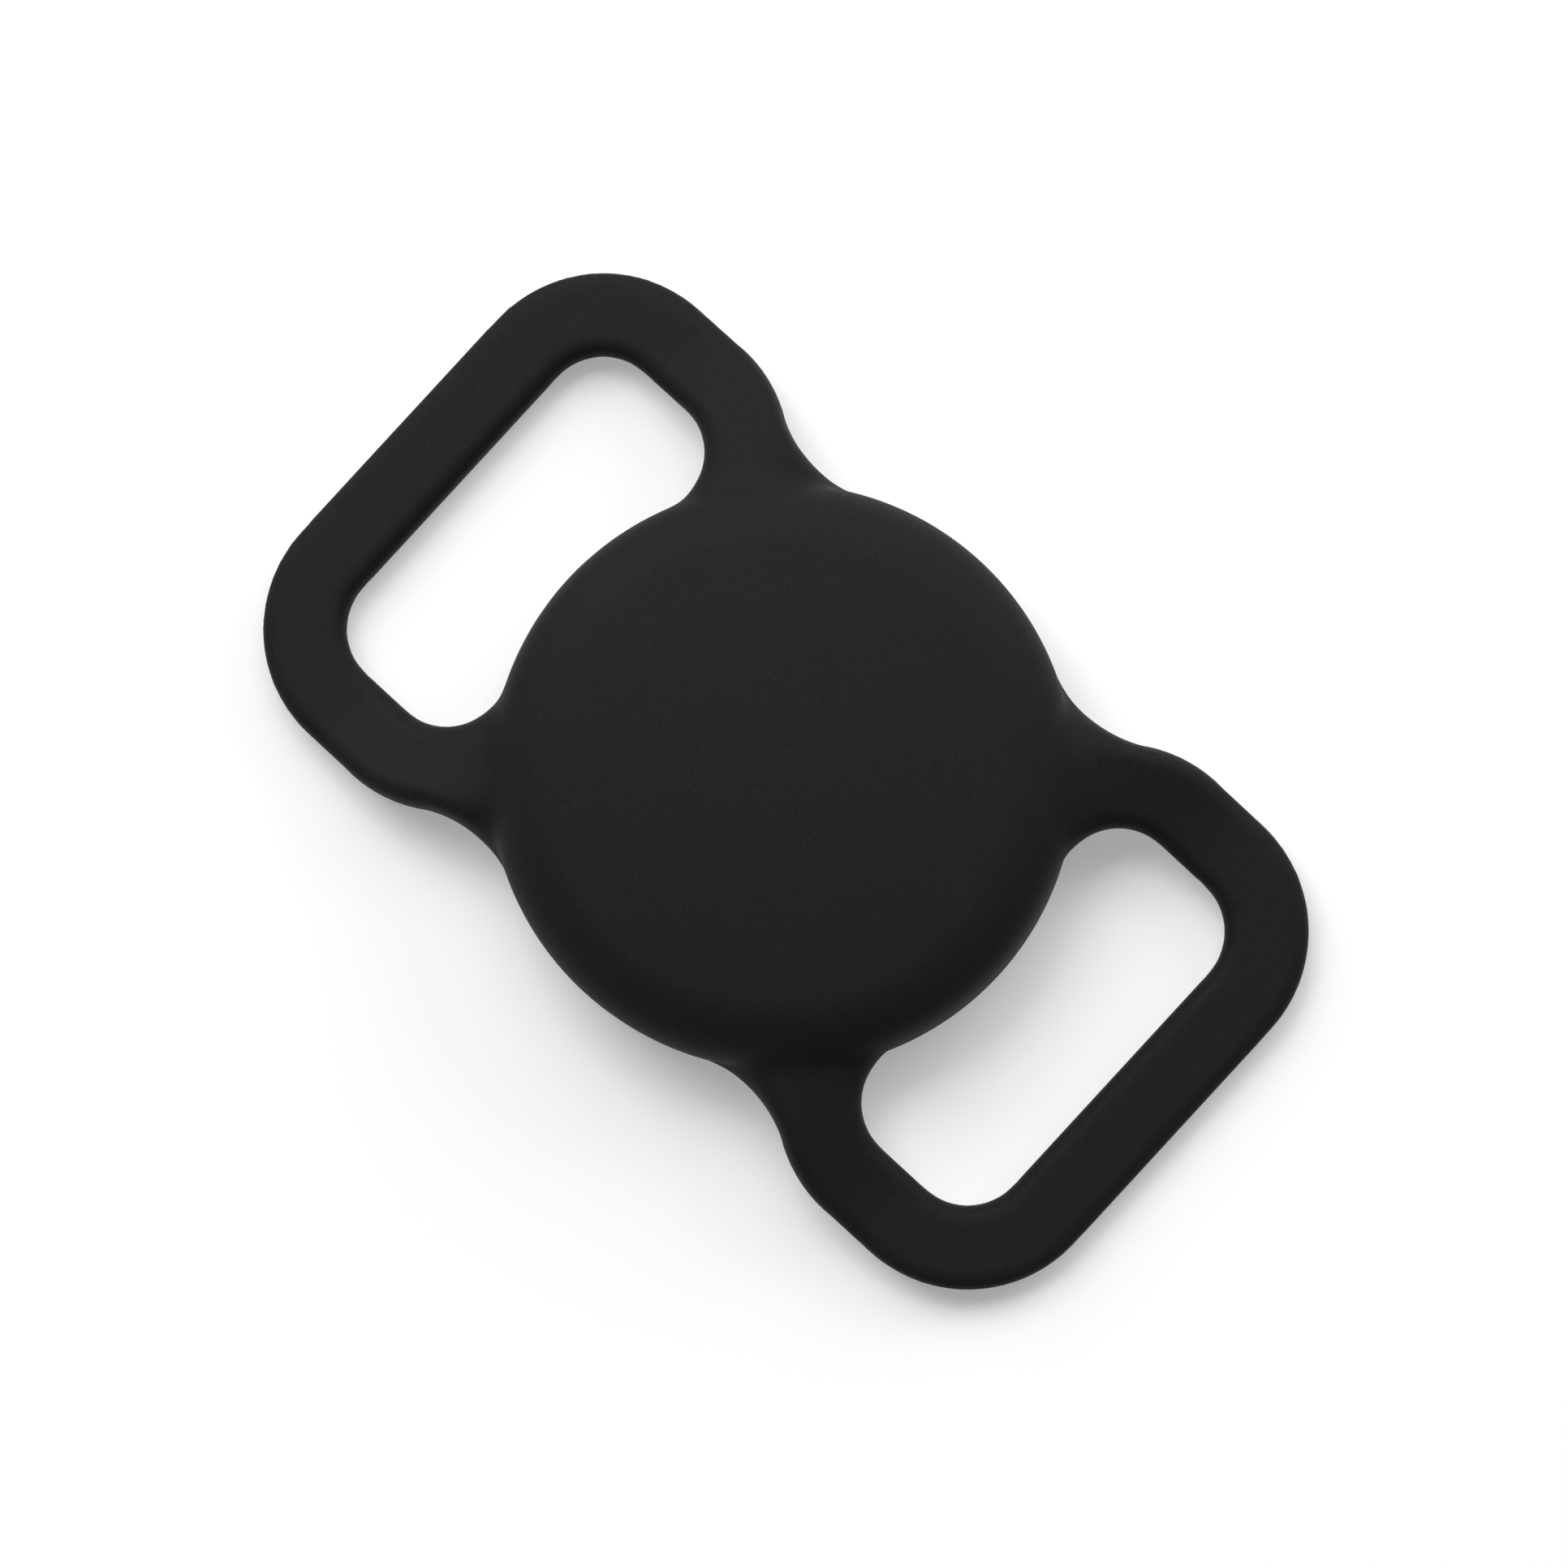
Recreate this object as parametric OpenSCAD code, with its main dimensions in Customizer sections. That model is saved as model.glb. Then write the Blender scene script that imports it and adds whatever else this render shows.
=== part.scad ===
// Silicone holder that carries a round tracker tag on a flat strap.
// Millimetres. X runs through both strap loops, Z points out of the domed front.
// The origin lies under the middle of the dome, on the flat back.

/* [Strap slots] */
// Width of the strap that runs through both slots
strap_w = 25.4; // [22:0.2:27]
// Length of each slot along the holder
slot_l = 11.4; // [9:0.2:14]
// Radius of the slot corners
slot_r = 3.8; // [3:0.1:4.5]
// How far the inner edge of a slot runs in under the dome
slot_sink = 2; // [1.6:0.1:2.6]

/* [Loops] */
// Width of the silicone band round each slot
band_w = 5.15; // [4.4:0.05:6]
// Thickness of that band
band_t = 2.6; // [2.2:0.1:3]
// Rounding of the band's edges
edge_r = 1; // [0.5:0.1:1.05]
// Radius of the hollow between loop and dome
waist_r = 8; // [6.5:0.1:9.5]
// Slope of the loops down from the dome, in degrees
loop_slope = 5; // [2:0.5:7]

/* [Dome] */
// Wall of the dome round the side of the tag
side_wall = 2; // [1.6:0.1:2.4]
// Wall of the dome over the front of the tag
front_wall = 1.3; // [1:0.1:1.6]
// Radius of the slightly crowned front
crown_r = 98; // [80:1:130]
// Radius of the dome's shoulder
shoulder_r = 4.6; // [4:0.1:5.2]
// Rounding round the back of the dome
back_r = 2.4; // [1.8:0.1:2.8]
// Thickness of the lip behind the tag, at its thinnest
lip_t = 1.2; // [1:0.1:1.8]
// Clear ring between the lip and the tag's cover
mouth_gap = 0.5; // [0.3:0.1:1]
// Rounding of the lip's outer rim
mouth_r = 0.4; // [0.2:0.1:0.6]
// Fit of the tag in the silicone pocket, all round
pocket_fit = 0.05; // [0.02:0.01:0.1]

/* [Tag shell] */
// Thickness of the front shell at its crown
shell_t = 0.9; // [0.7:0.1:1.2]
// Thickness of the front shell round the frame
shell_wall = 1.9; // [1.7:0.1:2.3]
// Radius of the small flat that the moulding gate leaves in the middle of each crown
gate_r = 0.6; // [0.4:0.1:1]
// Radius of the tag's front shoulder
tag_shoulder_r = 3.4; // [3.1:0.1:3.8]
// Straight height of the tag's side between its two shoulders
tag_side_h = 0.24; // [0.1:0.02:0.5]
// Radius of the shoulder inside the front shell
cavity_shoulder_r = 1.2; // [1:0.1:1.5]
// Glue gap between shell and frame
glue_gap = 0.05; // [0.02:0.01:0.08]

/* [Coin cell] */
// Diameter of the coin cell
cell_d = 20; // [19.5:0.1:21]
// Height of the coin cell
cell_h = 3.2; // [3:0.1:3.4]
// Sheet thickness of the cell's can and cap
cell_sheet = 0.25; // [0.2:0.01:0.3]
// Width of the step from the can's side to the cap
cell_step = 1.1; // [1:0.05:1.4]
// Height of the cap above the crimped can
cap_rise = 0.35; // [0.3:0.05:0.5]
// Rounding of the can's flat end
can_r = 0.4; // [0.3:0.05:0.5]
// Clearance round the cell in its well
well_play = 0.25; // [0.2:0.01:0.3]
// Room between the cell and the floor of its well
cell_play = 0.1; // [0.08:0.01:0.15]

/* [Tag frame] */
// Wall between the well and the bayonet channel
well_wall = 0.55; // [0.5:0.05:0.7]
// Width of the bayonet channel
channel_w = 1.5; // [1.4:0.05:1.7]
// Depth of the bayonet channel above the cover's seat
channel_h = 1.4; // [1.3:0.1:1.8]
// Width of the frame outside the channel
frame_ring_w = 1.7; // [1.6:0.05:2]
// Thickness of the floor between cell and circuit board
floor_t = 0.5; // [0.4:0.05:0.7]
// Height and width of the catch ledges in the channel
ledge = 0.5; // [0.45:0.05:0.6]
// Width of a stop rib across the channel, in degrees
stop_deg = 4; // [3:0.5:6]

/* [Cover] */
// Sheet thickness of the steel cover
plate_t = 0.4; // [0.3:0.05:0.5]
// How far the cover's rim overlaps the frame outside the channel
cover_seat = 0.2; // [0.15:0.01:0.25]
// Radius of the cover's slight outward bow
cover_bow_r = 160; // [140:5:220]
// Rounding of the cover's rim
cover_rim_r = 0.5; // [0.45:0.05:0.6]
// Height of the liner's face above the middle of the cover
liner_t = 0.7; // [0.6:0.05:0.9]
// Width of the liner's ring
liner_w = 4.4; // [3.8:0.1:5]
// Thickness of the pads that press on the cell
pad_t = 0.17; // [0.15:0.01:0.2]
// Diameter of each pad
pad_d = 1.8; // [1.4:0.1:2.2]
// Turn from locked to open, in degrees
turn_deg = 30; // [24:1:36]
// Width of a bayonet lug, in degrees
lug_deg = 18; // [14:1:20]
// Thickness of a bayonet lug
lug_t = 0.6; // [0.5:0.05:0.65]
// Reach of a lug's hook over its ledge
hook_w = 0.5; // [0.4:0.05:0.55]
// Height of a lug's hook
hook_h = 0.6; // [0.5:0.05:0.65]
// Running clearance of the bayonet parts
run_gap = 0.06; // [0.04:0.01:0.08]
// Thickness of the seal behind the cover's rim
seal_t = 0.3; // [0.2:0.02:0.35]

/* [Electronics] */
// Thickness of the circuit board
board_t = 0.6; // [0.5:0.05:0.8]
// Free height above the board at its rim
rim_room = 0.34; // [0.3:0.01:0.5]
// Gap between the magnet's cup and the hole in the board round it
hole_gap = 0.2; // [0.1:0.05:0.4]
// Gap between the circuit board and the antenna strip round it
board_margin = 0.4; // [0.35:0.01:0.5]
// Height of the shield can on the board
shield_h = 0.55; // [0.5:0.01:0.6]
// Height of the chips on the board
chip_h = 0.45; // [0.4:0.01:0.5]
// Height of the capacitors on the board
cap_h = 0.35; // [0.3:0.01:0.4]
// Width of the antenna strip
antenna_w = 0.6; // [0.4:0.02:0.65]
// Thickness of the antenna strip
antenna_t = 0.12; // [0.08:0.01:0.15]
// Gap between the voice coil and the wall of the magnet's steel cup
yoke_gap = 0.4; // [0.25:0.05:0.5]
// Height of that cup
yoke_h = 1.6; // [1.4:0.1:1.7]
// Sheet thickness of that cup
yoke_t = 0.4; // [0.3:0.05:0.45]
// Diameter of the speaker magnet
magnet_d = 5.2; // [5:0.1:5.3]
// Thickness of the speaker magnet
magnet_t = 1.1; // [0.9:0.1:1.2]
// Gap between the magnet and the voice coil round it
coil_gap = 0.35; // [0.25:0.05:0.45]
// Winding thickness of the voice coil
coil_t = 0.65; // [0.5:0.05:0.7]
// Height of the voice coil
coil_h = 1.0; // [0.8:0.1:1.1]
// Sheet thickness of the battery contacts
contact_t = 0.15; // [0.1:0.01:0.2]
// Width of the battery contacts
contact_w = 2.4; // [2:0.1:2.8]
// Length of the negative contact's leaf
leaf_l = 2.2; // [1.8:0.1:2.4]

/* [Hidden] */
$fn = 96;
// Segments of the very large circles, of which only a short arc is kept
BOW_FN = 1440;
// Overrun of every cut past the face that it opens
over = 0.5;
// How far the waist blend is tucked in under the dome
waist_tuck = 0.08;

// Radii of the tag, from its middle outwards
well_r = cell_d / 2 + well_play;
channel_in = well_r + well_wall;
channel_out = channel_in + channel_w;
cover_r = channel_out + cover_seat;
recess_r = cover_r + run_gap;
frame_r = channel_out + frame_ring_w;
cavity_r = frame_r + glue_gap;
tag_r = cavity_r + shell_wall;
dome_r = tag_r + pocket_fit + side_wall;
mouth_rad = cover_r + mouth_gap;
tag_crown_r = crown_r - front_wall - pocket_fit;
cavity_crown_r = tag_crown_r - shell_t;

// Heights of the tag's stack, from its cover to its crown
tag_z = lip_t + pocket_fit;
liner_z = tag_z + plate_t + glue_gap;
pad_z = liner_z + liner_t;
cell_z = pad_z + pad_t + glue_gap;
floor_z = cell_z + cell_h + cell_play;
frame_top = floor_z + floor_t;
board_z = frame_top + glue_gap;
board_top = board_z + board_t;
shell_in_z = board_top + rim_room - crown_z(0, cavity_crown_r, frame_r);
tag_top = shell_in_z + shell_t;
dome_top = tag_top + pocket_fit + front_wall;

// The tag's back shoulder takes what its front shoulder and its straight side leave
tag_back_r = shoulder_z(tag_r, tag_top, tag_crown_r, tag_shoulder_r) - tag_side_h - tag_z - plate_t;

// Foot of the positive contacts, low on the side of the cell
contact_foot_z = cell_z + cell_h / 4;
leaf_bend_r = well_play - run_gap;

// Heights where the cover meets the frame
rim_z = tag_z + bow_rise_at(cover_r - cover_rim_r) + cover_rim_r;
seat_z = rim_z + glue_gap + seal_t;
tag_back_z = tag_z + plate_t;
hook_z = seat_z + ledge + run_gap;
channel_top = seat_z + channel_h;

// Plan of the loops, measured along their slope
slot_in = dome_r - slot_sink;
slot_out = slot_in + slot_l;
slot_half = strap_w / 2;
loop_end = slot_out + band_w;
corner_x_in = slot_in + slot_r;
corner_x_out = slot_out - slot_r;
corner_y = slot_half - slot_r;
loop_corner_r = slot_r + band_w;

// The far end of each loop touches down on the plane of the back
loop_z = edge_r + (loop_end - edge_r) * sin(loop_slope) - edge_r * cos(loop_slope);

// Centre of the waist arc: it touches the dome and the loop's rounded corner
waist_to_dome = dome_r - waist_tuck + waist_r;
waist_to_corner = loop_corner_r + waist_r;
corner_dist = norm([corner_x_in, corner_y]);
waist_along = (pow(waist_to_dome, 2) - pow(waist_to_corner, 2) + pow(corner_dist, 2))
    / (2 * corner_dist);
waist_across = sqrt(pow(waist_to_dome, 2) - pow(waist_along, 2));
waist_x = (corner_x_in * waist_along - corner_y * waist_across) / corner_dist;
waist_y = (corner_y * waist_along + corner_x_in * waist_across) / corner_dist;
waist_at = [waist_x, waist_y];
corner_at = [corner_x_in, corner_y];

// Sides between which each rounded piece of a loop is kept, as outlines in plan
near_corner = [corner_at, [corner_x_in, waist_y], waist_at];
far_corner = [[corner_x_out, corner_y], [loop_end + band_w, corner_y],
              [loop_end + band_w, waist_y], [corner_x_out, waist_y]];
waist_hollow = [[0, 0], waist_at, corner_at];
slot_hollow = [corner_at, waist_at, [0, waist_y], [0, corner_y]];

// Height of the bowed cover's outer face above the back of the tag
function bow_rise_at(r) = cover_bow_r - sqrt(pow(cover_bow_r, 2) - pow(r, 2));

// Bayonet: three lugs, locked at zero, let out where the gaps are
LUGS = 3;
lug_pitch = 360 / LUGS;
stop_play_deg = stop_deg / 8;
lock_stop_deg = lug_deg / 2 + stop_play_deg;
open_stop_deg = -turn_deg - lug_deg / 2 - stop_play_deg - stop_deg;
ledge_from_deg = lug_deg / 2 + stop_deg / 2 - turn_deg;
ledge_to_deg = lug_pitch + open_stop_deg - stop_deg / 2;
lug_in = channel_in + (channel_w - lug_t - hook_w) / 2 - run_gap;
lug_out = lug_in + lug_t;
lug_top = hook_z + hook_h;

// Ring of the liner, and the pads on it
liner_out = cover_r - plate_t - glue_gap;
liner_in = liner_out - liner_w;
pad_r = (liner_in + cell_d / 2) / 2;

// The speaker, from its magnet outwards to the hole in the board
coil_d = magnet_d + 2 * coil_gap;
yoke_d = coil_d + 2 * coil_t + 2 * yoke_gap + 2 * yoke_t;
board_hole_d = yoke_d + 2 * hole_gap;

// The coil hangs from the inside of the shell's crown
coil_top = crown_z(shell_in_z, cavity_crown_r, coil_d / 2 + coil_t) - glue_gap;

// Layout of the board: radii and block sizes as shares of its ring
board_r = frame_r - antenna_w - board_margin;
board_ring_w = board_r - board_hole_d / 2;
board_mid_r = board_r - board_ring_w / 2;
shield_l_share = 0.8;
shield_w_share = 0.62;
chip_share = 0.34;
small_chip_share = 0.2;
capacitor_l_share = 0.12;
capacitor_w_share = 0.06;
negative_r_share = 0.75;
ANTENNA_GAP_DEG = 40;
CONTACT_DEGS = [60, 120];
SMALL_CHIP_DEGS = [200, 225, 250];
CAPACITOR_DEGS = [-75 : 9 : -39];
NEGATIVE_DEG = 180;
negative_r = board_mid_r * negative_r_share;

// Height of the centre of a crown whose middle is flat out to the gate's radius
function crown_centre(top, crown) = top - sqrt(pow(crown, 2) - pow(gate_r, 2));

// Height of the centre of a shoulder arc that meets a crown arc without a kink
function shoulder_z(r, top, crown, shoulder) =
    crown_centre(top, crown) + sqrt(pow(crown - shoulder, 2) - pow(r - shoulder, 2));

// Height of a crown at a given radius
function crown_z(top, crown, at_r) = crown_centre(top, crown) + sqrt(pow(crown, 2) - pow(at_r, 2));

// Half profile of a pebble: flat back, rounded sides and a crowned front with its small gate flat
module pebble(r, back, top, crown, shoulder, back_edge) {
    centre = crown_centre(top, crown);
    shoulder_at = shoulder_z(r, top, crown, shoulder);
    side_at = back + back_edge;
    lean = atan2(r - shoulder, shoulder_at - centre);
    past = shoulder + over;
    intersection() {
        translate([0, centre]) circle(crown, $fn = BOW_FN);
        polygon([[0, side_at], [r - shoulder, side_at], [r - shoulder, shoulder_at],
                 [r - shoulder + past * sin(lean), shoulder_at + past * cos(lean)],
                 [0, top + over]]);
        translate([0, back]) square([r, top - back]);
    }
    translate([0, side_at]) square([r, shoulder_at - side_at]);
    // Each circle is kept only up to the far end of the straight side
    intersection() {
        translate([r - shoulder, shoulder_at]) circle(shoulder);
        translate([0, side_at]) square([r, top]);
    }
    intersection() {
        translate([r - back_edge, side_at]) circle(back_edge);
        translate([0, back]) square([r, shoulder_at - back]);
    }
    translate([0, back]) square([r - back_edge, back_edge]);
}

// Half profile of the tag, grown by a fit on every side
module tag_profile(grow = 0) {
    pebble(tag_r + grow, tag_back_z - grow, tag_top + grow, tag_crown_r + grow,
           tag_shoulder_r + grow, tag_back_r + grow);
}

// Only what lies right of the axis can be turned about it
module turned() {
    rotate_extrude() intersection() {
        children();
        translate([0, -dome_top]) square([dome_r + over, 3 * dome_top]);
    }
}

// Ring with a rectangular section
module ring(inner, outer, from, to) {
    translate([0, 0, from]) difference() {
        cylinder(h = to - from, r = outer);
        translate([0, 0, -over]) cylinder(h = to - from + 2 * over, r = inner);
    }
}

// Part of such a ring, from one angle over a span
module ring_part(inner, outer, from, to, start_deg, span_deg) {
    rotate([0, 0, start_deg]) rotate_extrude(angle = span_deg)
        translate([inner, from]) square([outer - inner, to - from]);
}

// Section of the loop's band: a bar with rounded edges
module band_section() {
    translate([edge_r, 0]) square([band_w - 2 * edge_r, band_t]);
    translate([0, edge_r]) square([band_w, band_t - 2 * edge_r]);
    for (x = [edge_r, band_w - edge_r], y = [edge_r, band_t - edge_r])
        translate([x, y]) circle(edge_r);
}

// Edge of the root plate: flat towards the plate, rounded on the free side
module edge_section() {
    translate([0, edge_r]) square([edge_r, band_t - 2 * edge_r]);
    intersection() {
        for (z = [edge_r, band_t - edge_r]) translate([0, z]) circle(edge_r);
        square([edge_r, band_t]);
    }
}

// The part of a full ring that lies within an outline in plan
module swept(x, y, outline) {
    intersection() {
        translate([x, y, 0]) rotate_extrude() children();
        translate([0, 0, -over]) linear_extrude(band_t + 2 * over) polygon(outline);
    }
}

// Band swept round a corner of the slot
module band_corner(x, outline) {
    swept(x, corner_y, outline) translate([slot_r, 0]) band_section();
}

// Straight band along the side of the slot
module band_side() {
    translate([corner_x_in, slot_half, 0]) rotate([90, 0, 90])
        linear_extrude(corner_x_out - corner_x_in) band_section();
}

// Straight band across the far end of the slot
module band_end() {
    translate([slot_out, corner_y, 0]) rotate([90, 0, 0]) linear_extrude(2 * corner_y) band_section();
}

// Rounded edge round a hollow of the root plate
module hollow_edge(x, y, r, outline) {
    swept(x, y, outline) translate([r + edge_r, 0]) mirror([1, 0]) edge_section();
}

// Plan of the root plate between the dome, the waist arcs and the slot
module root_plan() {
    difference() {
        polygon([[0, 0], waist_at, corner_at, [corner_x_in, -corner_y], [waist_x, -waist_y]]);
        for (side = [-1, 1]) {
            translate([waist_x, side * waist_y]) circle(waist_r + edge_r);
            translate([corner_x_in, side * corner_y]) circle(slot_r + edge_r);
        }
        translate([slot_in - edge_r, -corner_y]) square([slot_r + edge_r, 2 * corner_y]);
    }
}

// Plate that carries the loop from under the dome
module root_plate() {
    linear_extrude(band_t) root_plan();
    translate([slot_in - edge_r, corner_y, 0]) rotate([90, 0, 0])
        linear_extrude(2 * corner_y) edge_section();
    for (side = [0, 1]) mirror([0, side, 0]) {
        hollow_edge(waist_x, waist_y, waist_r, waist_hollow);
        hollow_edge(corner_x_in, corner_y, slot_r, slot_hollow);
    }
}

// Puts a piece of a loop at both ends of the holder
module at_ends() {
    for (end = [0, 180]) rotate([0, 0, end]) translate([0, 0, loop_z]) rotate([0, loop_slope, 0])
        children();
}

// Puts a piece of a loop at both ends and on both sides of the holder
module at_corners() {
    at_ends() for (side = [0, 1]) mirror([0, side, 0]) children();
}

// Round mouth in the back, with a softened rim
module mouth() {
    turned() {
        translate([0, -over]) square([mouth_rad, tag_z + tag_back_r + over]);
        difference() {
            translate([0, -over]) square([mouth_rad + mouth_r, over + mouth_r]);
            translate([mouth_rad + mouth_r, mouth_r]) circle(mouth_r);
        }
    }
}

module holder_sleeve() {
    color("#262626") difference() {
        union() {
            turned() pebble(dome_r, 0, dome_top, crown_r, shoulder_r, back_r);
            at_ends() root_plate();
            at_ends() band_end();
            at_corners() band_side();
            at_corners() band_corner(corner_x_out, far_corner);
            at_corners() band_corner(corner_x_in, near_corner);
        }
        turned() tag_profile(pocket_fit);
        mouth();
    }
}

// Inside of the front shell
module shell_cavity() {
    pebble(cavity_r, tag_back_z, shell_in_z, cavity_crown_r, cavity_shoulder_r, cavity_shoulder_r);
    translate([0, tag_back_z - over]) square([cavity_r, over + tag_back_r]);
}

module tag_front_shell() {
    color("#f2f2ef") turned() difference() {
        tag_profile();
        shell_cavity();
    }
}

// Notch for one positive contact, through the well's wall and the floor
module contact_notch() {
    translate([well_r - over, -contact_w / 2 - run_gap, contact_foot_z - run_gap])
        cube([over + contact_t + run_gap, contact_w + 2 * run_gap, frame_top - contact_foot_z + over]);
}

// Frame before its notches are cut and its ledges added
module frame_body() {
    difference() {
        turned() intersection() {
            tag_profile();
            square([frame_r, frame_top]);
        }
        translate([0, 0, tag_z]) cylinder(h = floor_z - tag_z, r = well_r);
        translate([0, 0, tag_z]) cylinder(h = seat_z - tag_z, r = recess_r);
        ring(channel_in, channel_out, tag_z, channel_top);
        rotate([0, 0, NEGATIVE_DEG]) translate([negative_r, 0, floor_z - over])
            cylinder(h = floor_t + 2 * over, r = leaf_l / 2 + contact_w / 2);
        for (at = CONTACT_DEGS) rotate([0, 0, at]) contact_notch();
    }
}

module tag_frame() {
    color("#e6e6e2") {
        frame_body();
        for (lug = [0 : LUGS - 1]) rotate([0, 0, lug * lug_pitch]) {
            ring_part(lug_out + run_gap, channel_out + ledge, seat_z, seat_z + ledge,
                      ledge_from_deg, ledge_to_deg - ledge_from_deg);
            for (at = [lock_stop_deg, open_stop_deg])
                ring_part(channel_in - well_wall / 2, channel_out + ledge, seat_z + ledge / 2,
                          channel_top + ledge, at, stop_deg);
        }
    }
}

module antenna_strip() {
    color("#b87333") ring_part(frame_r - antenna_w, frame_r, frame_top, frame_top + antenna_t,
                               ANTENNA_GAP_DEG / 2, 360 - ANTENNA_GAP_DEG);
}

module circuit_board() {
    color("#1f5a3a") ring(board_hole_d / 2, board_r, board_z, board_top);
}

// Flat block on the board, given as shares of the board's ring, with its height
module on_board(at_deg, at_r, l_share, w_share, h) {
    l = board_ring_w * l_share;
    w = board_ring_w * w_share;
    rotate([0, 0, at_deg]) translate([at_r - w / 2, -l / 2, board_top]) cube([w, l, h]);
}

module board_shield() {
    color("#c9ccd0") on_board(0, board_mid_r, shield_l_share, shield_w_share, shield_h);
}

module board_chips() {
    color("#1b1b1d") {
        for (at = CONTACT_DEGS) on_board(at, board_mid_r, chip_share, chip_share, chip_h);
        for (at = SMALL_CHIP_DEGS) on_board(at, board_mid_r, small_chip_share, small_chip_share, chip_h);
    }
}

module board_capacitors() {
    color("#b9975b") for (at = CAPACITOR_DEGS) for (row = [-1, 1])
        on_board(at, board_mid_r + row * board_ring_w * capacitor_l_share,
                 capacitor_w_share, capacitor_l_share, cap_h);
}

module voice_coil() {
    color("#b5651d") ring(coil_d / 2, coil_d / 2 + coil_t, coil_top - coil_h, coil_top);
}

module speaker_magnet() {
    color("#8f9398") translate([0, 0, frame_top + yoke_t + glue_gap])
        cylinder(h = magnet_t, d = magnet_d);
}

module magnet_yoke() {
    color("#6f7378") {
        translate([0, 0, frame_top]) cylinder(h = yoke_t, d = yoke_d);
        ring(yoke_d / 2 - yoke_t, yoke_d / 2, frame_top, frame_top + yoke_h);
    }
}

// Two bent leaves that bear on the side of the cell
module positive_contacts() {
    color("#d4af37") for (at = CONTACT_DEGS) rotate([0, 0, at]) translate([0, contact_w / 2, 0])
        rotate([90, 0, 0]) linear_extrude(contact_w) {
            translate([well_r, contact_foot_z]) square([contact_t, board_z - contact_foot_z]);
            translate([well_r, contact_foot_z + leaf_bend_r]) difference() {
                circle(leaf_bend_r);
                circle(leaf_bend_r - contact_t);
                translate([0, -leaf_bend_r]) square([leaf_bend_r, 2 * leaf_bend_r]);
            }
        }
}

// Folded leaf between the cell's cap and the board
module negative_contact() {
    fold_r = (board_z - cell_z - cell_h) / 2;
    color("#d4af37") rotate([0, 0, NEGATIVE_DEG]) translate([negative_r, contact_w / 2, cell_z + cell_h])
        rotate([90, 0, 0]) linear_extrude(contact_w) {
            translate([-leaf_l / 2, 0]) square([leaf_l, contact_t]);
            translate([-leaf_l / 2, 2 * fold_r - contact_t]) square([leaf_l, contact_t]);
            translate([leaf_l / 2, fold_r]) difference() {
                circle(fold_r);
                circle(fold_r - contact_t);
                translate([-fold_r, -fold_r]) square([fold_r, 2 * fold_r]);
            }
        }
}

// Outline of the can: a cup whose rim is crimped in over the gasket
module can_outline() {
    rim_z = cell_z + cell_h - cap_rise;
    translate([0, cell_z]) square([cell_d / 2 - can_r, rim_z - cell_z]);
    translate([0, cell_z + can_r]) square([cell_d / 2, rim_z - cell_z - 2 * can_r]);
    for (z = [cell_z + can_r, rim_z - can_r]) translate([cell_d / 2 - can_r, z]) circle(can_r);
}

// Room inside the can, for the gasket and the cap
module can_room() {
    translate([0, cell_z + cell_sheet])
        square([cell_d / 2 - cell_sheet, cell_h - cap_rise - 2 * cell_sheet]);
    translate([0, cell_z + cell_sheet])
        square([cell_d / 2 - cell_step + cell_sheet, cell_h - cap_rise - cell_sheet]);
}

module coin_cell_can() {
    color("#c4c7cb") turned() difference() {
        can_outline();
        can_room();
    }
}

module coin_cell_gasket() {
    color("#3a3f44") turned() difference() {
        can_room();
        translate([0, cell_z]) square([cell_d / 2 - cell_step, cell_h]);
    }
}

module coin_cell_cap() {
    color("#d7d9dc") translate([0, 0, cell_z + cell_sheet])
        cylinder(h = cell_h - cell_sheet, r = cell_d / 2 - cell_step);
}

// Everything inside the cover's bow, moved in by a sheet, up to a height
module bow(sheet, reach, to) {
    intersection() {
        translate([0, tag_z + cover_bow_r]) circle(cover_bow_r - sheet, $fn = BOW_FN);
        square([reach, to]);
    }
}

module cover_plate() {
    color("#d9dbde") turned() difference() {
        union() {
            bow(0, cover_r - cover_rim_r, rim_z);
            intersection() {
                translate([cover_r - cover_rim_r, rim_z]) circle(cover_rim_r);
                square([cover_r, rim_z]);
            }
        }
        bow(plate_t, cover_r - plate_t, rim_z + over);
    }
}

// Section of a bayonet lug: a wall with a hook that reaches over its ledge
module lug_section() {
    translate([lug_in, pad_z - liner_t / 4]) square([lug_t, lug_top - pad_z + liner_t / 4]);
    translate([lug_in, hook_z]) square([lug_t + hook_w, hook_h]);
}

// Ring glued into the cover, with the lugs that lock it to the frame
module cover_liner() {
    color("#ececea") {
        turned() polygon([[liner_in, liner_z + bow_rise_at(liner_in)],
                          [liner_out, liner_z + bow_rise_at(liner_out)],
                          [liner_out, pad_z], [liner_in, pad_z]]);
        for (lug = [0 : LUGS - 1]) rotate([0, 0, lug * lug_pitch - lug_deg / 2])
            rotate_extrude(angle = lug_deg) lug_section();
    }
}

module cover_pads() {
    color("#8b8f94") for (lug = [0 : LUGS - 1]) rotate([0, 0, (lug + 1 / 2) * lug_pitch])
        translate([pad_r, 0, pad_z]) cylinder(h = pad_t, d = pad_d);
}

module cover_seal() {
    color("#c7c9c4") ring(channel_out, recess_r, seat_z - seal_t, seat_z);
}

holder_sleeve();
tag_front_shell();
tag_frame();
antenna_strip();
circuit_board();
board_shield();
board_chips();
board_capacitors();
voice_coil();
speaker_magnet();
magnet_yoke();
positive_contacts();
negative_contact();
coin_cell_can();
coin_cell_cap();
coin_cell_gasket();
cover_plate();
cover_liner();
cover_pads();
cover_seal();
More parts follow.
